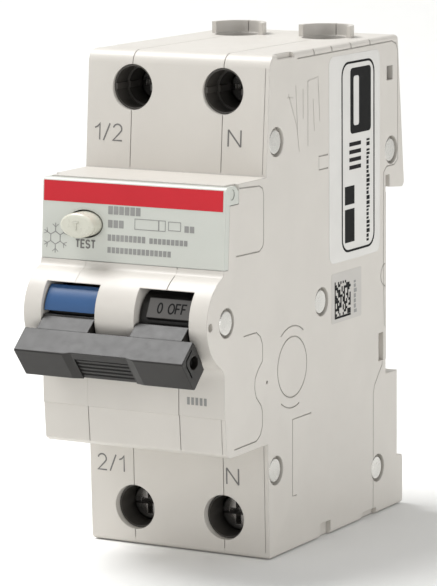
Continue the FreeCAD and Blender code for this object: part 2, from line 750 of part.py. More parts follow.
def toggle_shaft():
    """Steel pin that carries the toggle across the whole casing."""
    part = SubPart("toggle_shaft")
    end = half_width - 0.1
    part.rod("X", pivot, size["rivet_radius"], -end, end)
    heads(part, pivot, end)
    return part


def trip_flag():
    """Curved flag that shows beside the toggle after a trip."""
    part = SubPart("trip_flag")
    low, high = span(-1, size["window_near"] + 0.3, size["window_far"] - 0.3)
    part.rod("X", pivot, size["drum_radius"], low, high)
    part.prism("YZ", fan(54.0, 368.0, 14.0), low, high, cut=True)
    part.rod("X", pivot, 4.3, low, high, cut=True)
    return part


def link_start():
    """Place of the link's pin in the toggle drum."""
    angle = math.radians(28.0)
    return (pivot[0] + 4.2 * math.cos(angle), pivot[1] + 4.2 * math.sin(angle))


def link_wire():
    """Bent wire between the toggle drum and the crank of the contact shaft."""
    part = SubPart("link_wire")
    start = link_start()
    finish = (-size["carrier_depth"] - 9.0, size["carrier_height"])
    inner = -2.4
    part.rod("X", start, 0.6, -6.2, inner + 0.6)
    part.rod("X", finish, 0.6, -5.4, inner + 0.6)
    run = (plain(finish[0]) - plain(start[0]), plain(finish[1]) - plain(start[1]))
    length = math.hypot(*run)
    ahead = (run[0] / length * 0.6, run[1] / length * 0.6)
    outline = [
        (start[0] - ahead[1], start[1] + ahead[0]),
        (start[0] + ahead[1], start[1] - ahead[0]),
        (finish[0] + ahead[1], finish[1] - ahead[0]),
        (finish[0] - ahead[1], finish[1] + ahead[0]),
    ]
    part.prism("YZ", outline, inner - 0.6, inner + 0.6)
    return part


def contact_carrier():
    """Insulating shaft that turns both contact arms, with its crank."""
    part = SubPart("contact_carrier")
    centre = (-size["carrier_depth"], size["carrier_height"])
    part.rod("X", centre, 2.6, -13.5, 13.5)
    depth, up = centre
    part.rod("X", centre, 1.5, -15.9, 15.9)
    part.box((-5.2, -3.4), (depth - 12.2, depth), (up - 2.2, up + 2.2))
    part.box((-6.0, -3.0), (depth - 11.0, depth - 8.1), (up - 1.1, up + 1.0), cut=True)
    for _, side in SIDES:
        low, high = span(side, 6.4, 10.6)
        part.box((low, high), (depth - 1.05, depth + 1.05), (up - 4.0, up + 1.2), cut=True)
    return part


def contact_arm(name, side):
    """Copper arm with a silver button at its tip, hanging in the open position."""
    part = SubPart(name)
    low, high = span(side, 6.5, 10.5)
    depth, up = -size["carrier_depth"], size["carrier_height"]
    part.box((low, high), (depth - 1.0, depth + 1.0), (up - size["arm_reach"], up + 1.1))
    part.rod("Y", (side * 8.5, up - 16.0), 1.5, depth + 0.9, depth + 1.6)
    return part


def fixed_contact(name, side, top):
    """Copper strip with the silver button that the arm closes on."""
    part = SubPart(name)
    low, high = span(side, 6.5, 10.5)
    part.box((low, high), (-27.4, -26.6), (-10.5, top))
    part.rod("Y", (side * 8.5, -7.4), 1.5, -27.85, -27.2)
    return part


def terminal_block(name, side, level, up):
    """Dark insulating box round one terminal, with its screwdriver sleeve."""
    part = SubPart(name)
    middle = side * size["screw_across"]
    end = up * (half_height - size["wall"] - 0.1)
    near = up * 29.6
    low, high = (near, end) if up > 0 else (end, near)
    part.box((middle - 6.1, middle + 6.1), (-33.0, 0.4), (low, high))
    part.rod("Y", (middle, level), 4.5, -40.7, -32.5)
    part.rod("Y", (middle, level), size["screw_hole"] - 0.08, -42.4, -40.2)
    room_low, room_high = (near - 1.0, end - 1.1) if up > 0 else (end + 1.1, near + 1.0)
    part.box((middle - 5.45, middle + 5.45), (-31.8, -0.7), (room_low, room_high), cut=True)
    if up > 0:
        part.rod("Y", (middle, level), 3.55, -43.0, -38.7, cut=True)
        part.rod("Y", (middle, level), 3.15, -39.0, -33.0, cut=True)
        for hand in (-1, 1):
            for wall, first, last in ((3.55, -42.4, -38.7), (3.15, -38.7, -35.6)):
                near_wall, far_wall = span(hand, wall - 0.3, wall + 0.2)
                part.box((middle + near_wall, middle + far_wall), (first, last), (level - 0.5, level + 0.5))
    else:
        part.rod("Y", (middle, level), 3.55, -43.0, -33.0, cut=True)
    part.rod("Y", (middle, level), size["shank_radius"] + 0.15, -34.0, -31.0, cut=True)
    entry_low, entry_high = (end - 3.0, end + 1.0) if up > 0 else (end - 1.0, end + 3.0)
    entry = (middle, -size["cable_depth"])
    part.rod("Z", entry, size["guard_radius"], entry_low, entry_high, cut=True)
    return part


def terminal_screw(name, side, level, up):
    """Combination-head screw of one terminal; the upper heads are smaller and sit deeper."""
    part = SubPart(name)
    middle = side * size["screw_across"]
    centre = (middle, level)
    radius, face = (3.0, -35.3) if up > 0 else (3.4, -38.6)
    part.rod("Y", centre, radius, face, -33.1)
    part.soften(0.6, circle_at("y", face, radius))
    part.rod("Y", centre, size["shank_radius"], -33.2, -12.4)
    part.soften(0.5, circle_at("y", -12.4, 2.5), "PartDesign::Chamfer")
    part.box((middle - radius - 0.2, middle + radius + 0.2), (face - 0.4, face + 0.8),
             (level - 0.5, level + 0.5), cut=True)
    part.box((middle - 0.5, middle + 0.5), (face - 0.4, face + 1.6), (level - 2.2, level + 2.2), cut=True)
    part.box((middle - 2.2, middle + 2.2), (face - 0.4, face + 1.6), (level - 0.5, level + 0.5), cut=True)
    return part


def terminal_cage(name, side, level):
    """Lift cage that the screw draws forward on to the terminal bar."""
    part = SubPart(name)
    middle = side * size["screw_across"]
    part.box((middle - 5.2, middle + 5.2), (-21.0, -1.1), (level - 3.5, level + 3.5))
    part.box((middle - 4.15, middle + 4.15), (-18.0, -2.3), (level - 5.0, level + 5.0), cut=True)
    part.rod("Y", (middle, level), size["shank_radius"] + 0.05, -22.0, -17.0, cut=True)
    part.soften(0.6, lambda edge: edge.Length > 6.9 and abs(edge.BoundBox.ZLength - 7.0) < 0.01
                and edge.BoundBox.YMax > -1.2)
    return part


def terminal_bar(name, side, up, near):
    """Copper bar that reaches from the terminal into the mechanism."""
    part = SubPart(name)
    middle = side * 8.75
    far = up * 39.3
    low, high = (near, far) if up > 0 else (far, near)
    part.box((middle - 3.9, middle + 3.9), (-10.7 - size["bar_thickness"], -10.7), (low, high))
    return part


class Loose:
    """A named piece that is not a body."""

    def __init__(self, name, body):
        self.name = name
        self.body = body


def coil(name, axis, centre, radius, wire, low, high, turns):
    """Wire coil along an axis, swept round a helix; centre holds the other two coordinates."""
    helix = doc.addObject("Part::Helix", name + "_path")
    bind(helix, "Height", high - low)
    bind(helix, "Pitch", (high - low) / turns)
    bind(helix, "Radius", radius)
    loop = doc.addObject("Part::Circle", name + "_wire")
    bind(loop, "Radius", wire)
    loop.Placement = FreeCAD.Placement(FreeCAD.Vector(plain(radius), 0, 0), TURNS["Y"])
    sweep = doc.addObject("Part::Sweep", name)
    sweep.Sections = [loop]
    sweep.Spine = (helix, [])
    sweep.Solid = True
    sweep.Frenet = True
    sweep.Label = name
    sweep.Placement = FreeCAD.Placement(FreeCAD.Vector(), TURNS[axis])
    first, second = centre
    corner = {"Y": (first, low, second), "Z": (first, second, low)}
    for letter, length in zip("xyz", corner[axis]):
        bind(sweep, "Placement.Base." + letter, length)
    made.append(Loose(name, sweep))


def rivets():
    """Steel rivets through the three shells, and two short pins near the bottom."""
    part = SubPart("casing_rivets")
    end = half_width - 0.25
    for place in RIVETS:
        part.rod("X", place, size["rivet_radius"], -end, end)
    for _, side in SIDES:
        part.rod("X", BLIND_PIN, size["rivet_radius"], *span(side, inside - 0.8, end))
    base = half_width - size["recess_depth"] + 0.05
    for place in RIVETS + [BLIND_PIN]:
        for _, side in SIDES:
            part.rod("X", place, size["head_radius"], *span(side, base, end))
    for _, side in SIDES:
        part.soften(0.25, circle_at("x", side * end.value, size["head_radius"].value))
    return part


def rail_clip(name, side):
    """Sliding clip that grips the lower lip of the rail."""
    part = SubPart(name)
    middle = side * size["screw_across"]
    back = 1.15 + size["clip_thickness"]
    part.box((middle - 3.0, middle + 3.0), (1.15, back), (-half_height + 0.2, -15.4))
    part.soften(1.5, along_x((back.value, -15.4)), "PartDesign::Chamfer")
    part.box((middle - 1.25, middle + 1.25), (0.0, 6.0), (-33.0, -22.0), cut=True)
    part.box((middle - 1.2, middle + 1.2), (0.0, 6.0), (-41.0, -38.5), cut=True)
    return part


def arc_chute():
    """Insulating cheeks and back that hold the splitter plates."""
    part = SubPart("arc_chute")
    part.box((-15.2, -14.35), (-22.0, -3.4), (-26.0, -12.6))
    part.box((-2.65, -1.8), (-22.0, -3.4), (-26.0, -12.6))
    part.box((-15.2, -1.8), (-4.4, -3.4), (-26.0, -12.6))
    return part


def arc_plates():
    """Seven notched steel splitter plates."""
    part = SubPart("arc_plates")
    for step in range(7):
        low = -25.6 + 1.9 * step
        part.box((-14.3, -2.7), (-21.5, -4.5), (low, low + 0.9))
    notch = [(-11.2, -22.0), (-5.8, -22.0), (-8.5, -13.5)]
    part.prism("XY", notch, -27.0, -12.0, cut=True)
    return part


def arc_runner():
    """Steel rail below the splitter plates, turned up at the front."""
    part = SubPart("arc_runner")
    outline = [(-36.0, -27.2), (-4.0, -27.2), (-4.0, -26.4), (-35.6, -26.4), (-36.6, -24.0), (-37.3, -24.3)]
    part.prism("YZ", outline, -10.5, -6.5)
    return part


def magnet():
    """Short-circuit magnet: bobbin, winding, yoke and plunger."""
    middle = (-8.5, size["coil_height"])
    depth = -size["coil_depth"]
    bobbin = SubPart("coil_bobbin")
    front, rear = depth - 5.7, depth + 6.4
    bobbin.rod("Y", middle, 3.6, front, rear)
    bobbin.rod("Y", middle, 5.6, front, front + 0.7)
    bobbin.rod("Y", middle, 5.6, rear - 0.7, rear)
    bobbin.rod("Y", middle, 2.4, front - 1.0, rear + 1.0, cut=True)
    coil("magnet_coil", "Y", middle, 4.45, 0.75, front + 1.6, rear - 1.6, 5.0)
    yoke = SubPart("coil_yoke")
    low = size["coil_height"] - 7.0
    high = size["coil_height"] + 6.0
    yoke.box((-14.0, -3.0), (front - 1.3, front - 0.1), (low, high))
    yoke.box((-14.0, -3.0), (rear + 0.1, rear + 1.3), (low, high))
    yoke.box((-14.0, -3.0), (front - 2.0, rear + 1.3), (low, low + 1.0))
    yoke.rod("Y", middle, 1.0, front - 3.0, front, cut=True)
    plunger = SubPart("trip_plunger")
    plunger.rod("Y", middle, 2.2, front + 1.6, rear - 1.9)
    plunger.rod("Y", middle, 0.7, -size["lever_depth"] + 0.9, front + 2.0)


def trip_lever():
    """Two-armed lever that releases the latch in both poles."""
    part = SubPart("trip_lever")
    depth, up = -size["lever_depth"], size["lever_height"]
    part.rod("X", (depth, up), 1.2, -inside + 0.2, inside - 0.2)
    part.box((-10.5, -6.5), (depth - 1.1, depth + 0.7), (1.0, up + 1.2))
    part.box((6.5, 9.5), (depth - 1.1, depth + 0.7), (12.0, up + 1.2))
    return part


def residual_current_parts():
    """Core balance ring, relay, circuit board and their small parts."""
    centre = (-size["toroid_depth"], -size["toroid_drop"])
    core = SubPart("toroid_core")
    core.ring("X", centre, 7.6, 5.2, 4.5, 12.5)
    winding = SubPart("toroid_winding")
    winding.prism("YZ", wound_edge(centre, 8.2, 7.8), 4.0, 13.0)
    winding.rod("X", centre, 7.6, 4.5, 12.5, cut=True)
    winding.rod("X", centre, 5.2, 4.5, 12.5)
    winding.prism("YZ", wound_edge(centre, 4.6, 5.0), 3.0, 14.0, cut=True)
    winding.box((3.0, 14.0), (centre[0] - 0.8, centre[0] + 0.8), (centre[1] + 3.0, centre[1] + 9.0),
                cut=True)
    wires = SubPart("primary_conductors")
    for shift in (-1.6, 1.6):
        wires.rod("X", (centre[0] + shift, centre[1]), 1.1, -1.5, 14.2)
    relay = SubPart("trip_relay")
    relay.box((2.5, 14.4), (-35.5, -20.0), (12.5, 26.5))
    relay.rod("Y", (8.0, 16.0), 0.9, -36.0, -32.0, cut=True)
    relay.soften(0.5, flat_at("z", 26.5))
    pin = SubPart("relay_pin")
    pin.rod("Y", (8.0, 16.0), 0.8, -36.2, -32.4)
    board = SubPart("circuit_board")
    board.box((14.8, 15.9), (-32.0, -5.0), (-8.0, 26.0))
    board.rod("X", RIVETS[2], 2.2, 14.0, 17.0, cut=True)
    pieces = SubPart("board_components")
    pieces.rod("Z", (12.5, -17.0), 2.2, -4.0, 6.0)
    pieces.rod("Z", (13.6, -29.0), 1.1, 0.0, 8.0)
    pieces.box((13.4, 14.8), (-14.0, -8.0), (12.0, 20.0))


def wound_edge(centre, tip, root):
    """Outline of a wound ring: turns stand out to tip with root between them."""
    turns = 20
    corners = []
    for step in range(turns * 2):
        angle = math.pi * step / turns
        reach = tip if step % 2 else root
        corners.append((centre[0] + reach * math.cos(angle), centre[1] + reach * math.sin(angle)))
    return corners


def terminals():
    """The four terminals, each with its box, screw, cage and bar."""
    poles = {"left": "line", "right": "neutral"}
    for hand, side in SIDES:
        for row, level, up in screw_levels:
            tail = "_%s_%s" % (poles[hand], row)
            terminal_block("terminal_block" + tail, side, level, up)
            terminal_screw("terminal_screw" + tail, side, level, up)
            terminal_cage("terminal_cage" + tail, side, level)
    terminal_bar("line_input_bar", -1, 1, 14.0)
    neutral_in = terminal_bar("neutral_input_bar", 1, 1, 10.0)
    neutral_in.box((6.5, 10.5), (-27.4, -10.7), (9.7, 10.9))
    for name, side in (("line_output_bar", -1), ("neutral_output_bar", 1)):
        part = terminal_bar(name, side, -1, -28.0)
        low, high = span(side, 6.7, 10.7)
        part.box((low, high), (-38.8, -10.7), (-28.9, -27.7))


def bimetal_strip():
    """Overload strip that stands on the line output bar."""
    part = SubPart("bimetal_strip")
    part.box((-10.7, -6.7), (-38.8, -38.0), (-27.7, -1.5))
    return part


def build_all():
    """Make every sub-part of the device."""
    side_shell("left_shell", -1)
    centre_housing()
    side_shell("right_shell", 1)
    rivets()
    label_plate()
    test_button()
    test_contact()
    toggle_bar()
    for hand, side in SIDES:
        toggle_side("toggle_" + hand, side)
    toggle_shaft()
    trip_flag()
    link_wire()
    contact_carrier()
    contact_arm("contact_arm_line", -1)
    contact_arm("contact_arm_neutral", 1)
    fixed_contact("fixed_contact_line", -1, 10.0)
    fixed_contact("fixed_contact_neutral", 1, 9.7)
    terminals()
    bimetal_strip()
    magnet()
    trip_lever()
    arc_chute()
    arc_plates()
    arc_runner()
    residual_current_parts()
    for hand, side in SIDES:
        rail_clip("rail_clip_" + hand, side)
        middle = (side * size["screw_across"], 2.35)
        coil("clip_spring_" + hand, "Z", middle, 0.75, 0.2, -30.9, -22.3, 7.0)


def check_and_export():
    """Stop on any bad feature or shape, then write one STEP file per sub-part."""
    for item in doc.Objects:
        if "Invalid" in item.State or "Error" in item.State:
            raise ValueError("feature failed: " + item.Name + " " + str(item.State))
    for part in made:
        shape = part.body.Shape
        if shape.isNull() or not shape.isValid() or not shape.Solids:
            raise ValueError("bad shape: " + part.name)
    os.makedirs(PARTS_FOLDER, exist_ok=True)
    for part in made:
        part.body.Shape.exportStep(os.path.join(PARTS_FOLDER, part.name + ".step"))


build_all()
doc.recompute()
check_and_export()
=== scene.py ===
"""Looks of the two-module residual current device.

Finishes for every node, printed marks and labels, a pale studio, light and camera.
"""

import json
import math
import random

import bpy
from mathutils import Matrix, Vector


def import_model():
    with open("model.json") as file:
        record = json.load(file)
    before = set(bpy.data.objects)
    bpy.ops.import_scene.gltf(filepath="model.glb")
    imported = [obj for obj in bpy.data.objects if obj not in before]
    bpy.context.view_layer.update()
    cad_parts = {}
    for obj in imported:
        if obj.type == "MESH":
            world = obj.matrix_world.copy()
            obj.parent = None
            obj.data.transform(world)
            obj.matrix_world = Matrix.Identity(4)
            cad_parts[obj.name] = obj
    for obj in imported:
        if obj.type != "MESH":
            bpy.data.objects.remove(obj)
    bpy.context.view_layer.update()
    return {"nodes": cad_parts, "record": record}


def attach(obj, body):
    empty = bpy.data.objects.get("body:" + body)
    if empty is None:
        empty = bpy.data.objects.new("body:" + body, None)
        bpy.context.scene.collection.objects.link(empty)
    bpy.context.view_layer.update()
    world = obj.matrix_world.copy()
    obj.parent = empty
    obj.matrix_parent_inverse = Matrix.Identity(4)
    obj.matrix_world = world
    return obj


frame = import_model()
nodes = frame["nodes"]

MM = 0.001
HALF_WIDTH = 17.5
CASING_LEVEL = -42.5
STAGE_GAP = 0.1


# ---------------------------------------------------------------- materials

def new_material(name):
    """A material with an empty node tree, its output and its main shader."""
    material = bpy.data.materials.new(name)
    material.use_nodes = True
    tree = material.node_tree
    tree.nodes.clear()
    output = tree.nodes.new("ShaderNodeOutputMaterial")
    shader = tree.nodes.new("ShaderNodeBsdfPrincipled")
    tree.links.new(shader.outputs["BSDF"], output.inputs["Surface"])
    return material, tree, shader


def noise(tree, scale, detail=4.0, stretch=(1.0, 1.0, 1.0)):
    """Noise over the object's own space, in turns per metre."""
    place = tree.nodes.new("ShaderNodeTexCoord")
    mapping = tree.nodes.new("ShaderNodeMapping")
    mapping.inputs["Scale"].default_value = stretch
    tree.links.new(place.outputs["Object"], mapping.inputs["Vector"])
    texture = tree.nodes.new("ShaderNodeTexNoise")
    texture.inputs["Scale"].default_value = scale
    texture.inputs["Detail"].default_value = detail
    tree.links.new(mapping.outputs["Vector"], texture.inputs["Vector"])
    return texture


def ramp(tree, source, low, high, start=0.35, end=0.65):
    """A two-stop colour ramp fed by a value."""
    node = tree.nodes.new("ShaderNodeValToRGB")
    node.color_ramp.elements[0].position = start
    node.color_ramp.elements[0].color = (*low, 1.0)
    node.color_ramp.elements[1].position = end
    node.color_ramp.elements[1].color = (*high, 1.0)
    tree.links.new(source, node.inputs["Fac"])
    return node


def mix(tree, factor, first, second):
    """A colour mix; each input is a socket or an RGB triple."""
    node = tree.nodes.new("ShaderNodeMix")
    node.data_type = "RGBA"
    tree.links.new(factor, node.inputs[0])
    for socket, value in ((node.inputs[6], first), (node.inputs[7], second)):
        if isinstance(value, tuple):
            socket.default_value = (*value, 1.0)
        else:
            tree.links.new(value, socket)
    return node.outputs[2]


def shade(color, factor):
    """A colour made lighter or darker."""
    return tuple(min(1.0, channel * factor) for channel in color)


def painted_shade_mask(tree, reach):
    """A mask that is one in the open and falls to zero in narrow gaps, for painting shade into
    them.
    """
    occlusion = tree.nodes.new("ShaderNodeAmbientOcclusion")
    occlusion.samples = 8
    occlusion.inputs["Distance"].default_value = reach * MM
    return ramp(tree, occlusion.outputs["AO"], (0, 0, 0), (1, 1, 1), 0.25, 0.85).outputs["Color"]


def surface(name, color, roughness, metal=0.0, grain=0.02, grain_scale=9000.0, spread=0.04,
            wear=1.12, edge_radius=0.12, stretch=(1.0, 1.0, 1.0), coat=0.0, shine=0.5,
            crevice_shade=0.0, reach=1.2):
    """A procedural finish: mottled colour, uneven gloss, fine grain, worn edges, painted shade in
    narrow gaps.
    """
    material, tree, shader = new_material(name)
    broad = noise(tree, 120.0, stretch=stretch)
    dark, light = shade(color, 1.0 - spread), shade(color, 1.0 + spread)
    tint = ramp(tree, broad.outputs["Fac"], dark, light).outputs["Color"]
    geometry = tree.nodes.new("ShaderNodeNewGeometry")
    edge = ramp(tree, geometry.outputs["Pointiness"], (0, 0, 0), (1, 1, 1), 0.52, 0.60)
    worn = tree.nodes.new("ShaderNodeMath")
    worn.operation = "MULTIPLY"
    worn.inputs[1].default_value = 0.5
    tree.links.new(edge.outputs["Color"], worn.inputs[0])
    bright = tree.nodes.new("ShaderNodeHueSaturation")
    bright.inputs["Value"].default_value = wear
    tree.links.new(tint, bright.inputs["Color"])
    tint = mix(tree, worn.outputs["Value"], tint, bright.outputs["Color"])
    # painted shade: the colour darkens in narrow gaps and recesses, where shadow falls
    if crevice_shade > 0.0:
        tint = mix(tree, painted_shade_mask(tree, reach), shade(color, 1.0 - crevice_shade), tint)
    tree.links.new(tint, shader.inputs["Base Color"])
    rough = tree.nodes.new("ShaderNodeMapRange")
    rough.inputs["To Min"].default_value = max(0.02, roughness - 0.07)
    rough.inputs["To Max"].default_value = min(1.0, roughness + 0.07)
    tree.links.new(noise(tree, 700.0, stretch=stretch).outputs["Fac"], rough.inputs["Value"])
    tree.links.new(rough.outputs["Result"], shader.inputs["Roughness"])
    shader.inputs["Metallic"].default_value = metal
    shader.inputs["Coat Weight"].default_value = coat
    shader.inputs["Specular IOR Level"].default_value = shine
    rounded = tree.nodes.new("ShaderNodeBevel")
    rounded.samples = 4
    rounded.inputs["Radius"].default_value = edge_radius * MM
    bump = tree.nodes.new("ShaderNodeBump")
    bump.inputs["Strength"].default_value = 0.25
    bump.inputs["Distance"].default_value = grain * MM
    tree.links.new(noise(tree, grain_scale, 2.0, stretch).outputs["Fac"], bump.inputs["Height"])
    tree.links.new(rounded.outputs["Normal"], bump.inputs["Normal"])
    tree.links.new(bump.outputs["Normal"], shader.inputs["Normal"])
    return material


def ink(name, color, roughness=0.5, shine=0.5):
    """Matt printing ink."""
    return surface(name, color, roughness, grain=0.002, spread=0.08, wear=1.0, edge_radius=0.01,
                   shine=shine)


def paper(name, color, roughness, coat=0.0):
    """Smooth label stock."""
    return surface(name, color, roughness, grain=0.004, spread=0.03, wear=1.0, edge_radius=0.02,
                   coat=coat)


# The darkening in gaps set on some finishes below is painted shade.
FINISHES = {
    "casing_grey": surface("casing_grey", (0.60, 0.572, 0.528), 0.42, spread=0.015, wear=1.05,
                           edge_radius=0.22, crevice_shade=0.25, reach=0.6),
    "label_grey": surface("label_grey", (0.55, 0.565, 0.52), 0.36, grain=0.01, spread=0.012,
                          wear=1.04, crevice_shade=0.5),
    "toggle_grey": surface("toggle_grey", (0.012, 0.0108, 0.0095), 0.39, grain=0.03, spread=0.08,
                           wear=1.3, edge_radius=0.2, shine=0.32, crevice_shade=0.9),
    "flag_blue": surface("flag_blue", (0.030, 0.088, 0.215), 0.40, grain=0.006, spread=0.06,
                         wear=1.1, shine=0.35),
    "button_ivory": surface("button_ivory", (0.62, 0.615, 0.525), 0.28, grain=0.008, spread=0.02,
                            wear=1.05, edge_radius=0.3, coat=0.2),
    "insulator_dark": surface("insulator_dark", (0.035, 0.032, 0.028), 0.5, grain=0.03,
                              spread=0.12, wear=1.5),
    "insulator_light": surface("insulator_light", (0.58, 0.53, 0.42), 0.5, spread=0.06),
    "zinc_steel": surface("zinc_steel", (0.62, 0.61, 0.58), 0.26, metal=1.0, grain=0.05,
                          grain_scale=2500.0, spread=0.08, wear=1.2, edge_radius=0.15),
    "plain_steel": surface("plain_steel", (0.42, 0.42, 0.42), 0.34, metal=1.0, spread=0.1,
                           wear=1.3, stretch=(1.0, 1.0, 5.0)),
    "copper_bar": surface("copper_bar", (0.72, 0.36, 0.20), 0.3, metal=1.0, spread=0.1, wear=1.2),
    "copper_wire": surface("copper_wire", (0.52, 0.20, 0.07), 0.28, metal=0.9, spread=0.1,
                           wear=1.2, coat=0.3),
    "core_grey": surface("core_grey", (0.09, 0.09, 0.10), 0.45, metal=0.6, spread=0.15, wear=1.4),
    "board_green": surface("board_green", (0.02, 0.13, 0.05), 0.3, spread=0.1, wear=1.3, coat=0.3),
}
LINER = surface("liner", (0.055, 0.050, 0.044), 0.45, grain=0.03, spread=0.1, wear=1.4)
# Steel darkened as painted shade for the terminal screws, which sit deep in their holes.
SHADED_SCREW_STEEL = surface("dark_steel", (0.22, 0.21, 0.20), 0.18, metal=1.0, grain=0.08,
                     grain_scale=1800.0, spread=0.12, wear=1.4, edge_radius=0.15)
INK = ink("ink", (0.16, 0.155, 0.15))
LIGHT_INK = ink("light_ink", (0.27, 0.27, 0.26))
BLACK_INK = ink("black_ink", (0.010, 0.010, 0.010), 0.6, 0.1)
STICKER = paper("sticker", (0.66, 0.648, 0.62), 0.24, 0.3)
CODE_PAPER = paper("code_paper", (0.52, 0.50, 0.47), 0.4)
PAD_GREY = surface("pad_grey", (0.065, 0.061, 0.057), 0.5, grain=0.01, spread=0.04, wear=1.0,
                   edge_radius=0.02)
STRIPE = surface("stripe_red", (0.54, 0.013, 0.024), 0.36, grain=0.006, spread=0.03, wear=1.05,
                 edge_radius=0.05, shine=0.3)

# nodes that look different from the other nodes of their material slot; the terminal screws'
# darker steel is painted shade for the deep holes they sit in
SPECIAL = {"terminal_block": LINER, "terminal_screw": SHADED_SCREW_STEEL}

slots = {entry["node"]: entry["material_slot"] for entry in frame["record"]["subparts"]}
for node_name, item in nodes.items():
    item.data.materials.clear()
    kind = "_".join(node_name.split("_")[:2])
    item.data.materials.append(SPECIAL.get(kind, FINISHES[slots[node_name]]))


# ---------------------------------------------------------------- printed marks

class Face:
    """A flat printing face: a point on it, its across and up directions, in millimetres."""

    def __init__(self, point, across, up):
        self.point = Vector(point)
        self.across = Vector(across).normalized()
        self.up = Vector(up).normalized()
        self.out = self.across.cross(self.up)

    def matrix(self, x, y, lift):
        """Place a flat drawing at x, y on the face, lifted clear of it."""
        spot = self.point + self.across * x + self.up * y + self.out * lift
        turn = Matrix((self.across, self.up, self.out)).transposed().to_4x4()
        return Matrix.Translation(spot * MM) @ turn @ Matrix.Scale(MM, 4)


SHOULDER_TOP = Face((0, -44.0, 22.5), (1, 0, 0), (0, 1.6, 20.0))
SHOULDER_LOW = Face((0, -44.0, -22.5), (1, 0, 0), (0, -0.45, 20.0))
PLATE = Face((0, -58.45, 8.85), (1, 0, 0), (0, 0.9, 13.45))
SIDE = Face((HALF_WIDTH, 0, 0), (0, 1, 0), (0, 0, 1))
PIVOT = (-57.8, 0.15)
FACET_ANGLE = math.radians(27.0)
FACET_REACH = 5.55
FACET_SINE, FACET_COSINE = math.sin(FACET_ANGLE), math.cos(FACET_ANGLE)
FACET = Face((9.0, PIVOT[0] - FACET_REACH * FACET_COSINE, PIVOT[1] + FACET_REACH * FACET_SINE),
             (1, 0, 0), (0, FACET_SINE, FACET_COSINE))
THICK = 0.02
LIFT = 0.012
OVER = LIFT + THICK


def add_mesh(name, vertices, faces, matrix, material, body):
    """A mesh piece from corners in the drawing's own space."""
    mesh = bpy.data.meshes.new(name)
    mesh.from_pydata(vertices, [], faces)
    mesh.transform(matrix)
    mesh.update()
    mesh.materials.append(material)
    piece = bpy.data.objects.new(name, mesh)
    bpy.context.scene.collection.objects.link(piece)
    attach(piece, body)
    return piece


def slab(outline):
    """Closed thin prism over an outline: its corners and faces."""
    count = len(outline)
    vertices = [(x, y, z) for z in (0, THICK) for x, y in outline]
    faces = [tuple(reversed(range(count))), tuple(range(count, 2 * count))]
    for index in range(count):
        following = (index + 1) % count
        faces.append((index, following, following + count, index + count))
    return vertices, faces


def join(parts):
    """Several corner and face lists as one."""
    vertices, faces = [], []
    for more_vertices, more_faces in parts:
        shift = len(vertices)
        vertices += more_vertices
        faces += [tuple(index + shift for index in face) for face in more_faces]
    return vertices, faces


def rectangle(x0, y0, x1, y1):
    """Outline from two opposite corners."""
    return [(x0, y0), (x1, y0), (x1, y1), (x0, y1)]


def rounded(x0, y0, x1, y1, radius):
    """Rectangle with round corners."""
    steps = 6
    corners = []
    for cx, cy, start in ((x1 - radius, y0 + radius, -90), (x1 - radius, y1 - radius, 0),
                          (x0 + radius, y1 - radius, 90), (x0 + radius, y0 + radius, 180)):
        for step in range(steps + 1):
            angle = math.radians(start + 90.0 * step / steps)
            corners.append((cx + radius * math.cos(angle), cy + radius * math.sin(angle)))
    return corners


def stroke(x0, y0, x1, y1, width):
    """A straight line of some width."""
    length = math.hypot(x1 - x0, y1 - y0)
    dx, dy = (x1 - x0) / length * width / 2, (y1 - y0) / length * width / 2
    return [(x0 + dy, y0 - dx), (x1 + dy, y1 - dx), (x1 - dy, y1 + dx), (x0 - dy, y0 + dx)]


def ring(outer, inner):
    """Closed thin prism between two outlines of the same length."""
    count = len(outer)
    loops = [[(x, y, z) for x, y in outline] for outline in (outer, inner) for z in (0, THICK)]
    vertices = [corner for loop in loops for corner in loop]
    faces = []
    low, high, inner_low, inner_high = (0, count, 2 * count, 3 * count)
    for here in range(count):
        after = (here + 1) % count
        faces.append((low + here, low + after, high + after, high + here))
        faces.append((inner_low + after, inner_low + here, inner_high + here, inner_high + after))
        faces.append((high + here, high + after, inner_high + after, inner_high + here))
        faces.append((low + after, low + here, inner_low + here, inner_low + after))
    return vertices, faces


def frame_line(x0, y0, x1, y1, width):
    """Thin rectangular frame."""
    inner = rectangle(x0 + width, y0 + width, x1 - width, y1 - width)
    return ring(rectangle(x0, y0, x1, y1), inner)


def draw(name, face, shapes, material, body="casing", lift=LIFT):
    """Print flat shapes on a face."""
    parts = [shape if isinstance(shape, tuple) else slab(shape) for shape in shapes]
    vertices, faces = join(parts)
    return add_mesh(name, vertices, faces, face.matrix(0, 0, lift), material, body)


def ribbon(points, width):
    """Closed outline of a thin line through the points."""
    left, right = [], []
    last = len(points) - 1
    for index, point in enumerate(points):
        spot = Vector(point)
        ahead = (Vector(points[min(index + 1, last)]) - spot).normalized()
        behind = (spot - Vector(points[max(index - 1, 0)])).normalized()
        normals = [Vector((-run.y, run.x)) for run in (behind, ahead) if run.length > 0.5]
        normal = sum(normals, Vector((0, 0))).normalized()
        reach = width / 2 * min(1.7, 1.0 / max(0.2, normal.dot(normals[0])))
        left.append(tuple(spot + normal * reach))
        right.append(tuple(spot - normal * reach))
    return right + left[::-1]


def curve_points(cx, cy, across, up, first, last, steps=10):
    """Points along part of an ellipse; angles in degrees."""
    points = []
    for step in range(steps + 1):
        angle = math.radians(first + (last - first) * step / steps)
        points.append((cx + across * math.cos(angle), cy + up * math.sin(angle)))
    return points


def bowl(cx, cy, across, up):
    """Two half ellipses that make a closed loop."""
    return [curve_points(cx, cy, across, up, 0, 180), curve_points(cx, cy, across, up, 180, 360)]


DOUBLE_CURVE = (curve_points(0.28, 0.75, 0.26, 0.25, 20, 270, 12)
                + curve_points(0.28, 0.25, 0.28, 0.25, 90, -160, 12)[1:])
HOOK = curve_points(0.29, 0.71, 0.28, 0.29, 165, -20) + [(0.42, 0.44), (0.0, 0.0), (0.60, 0.0)]

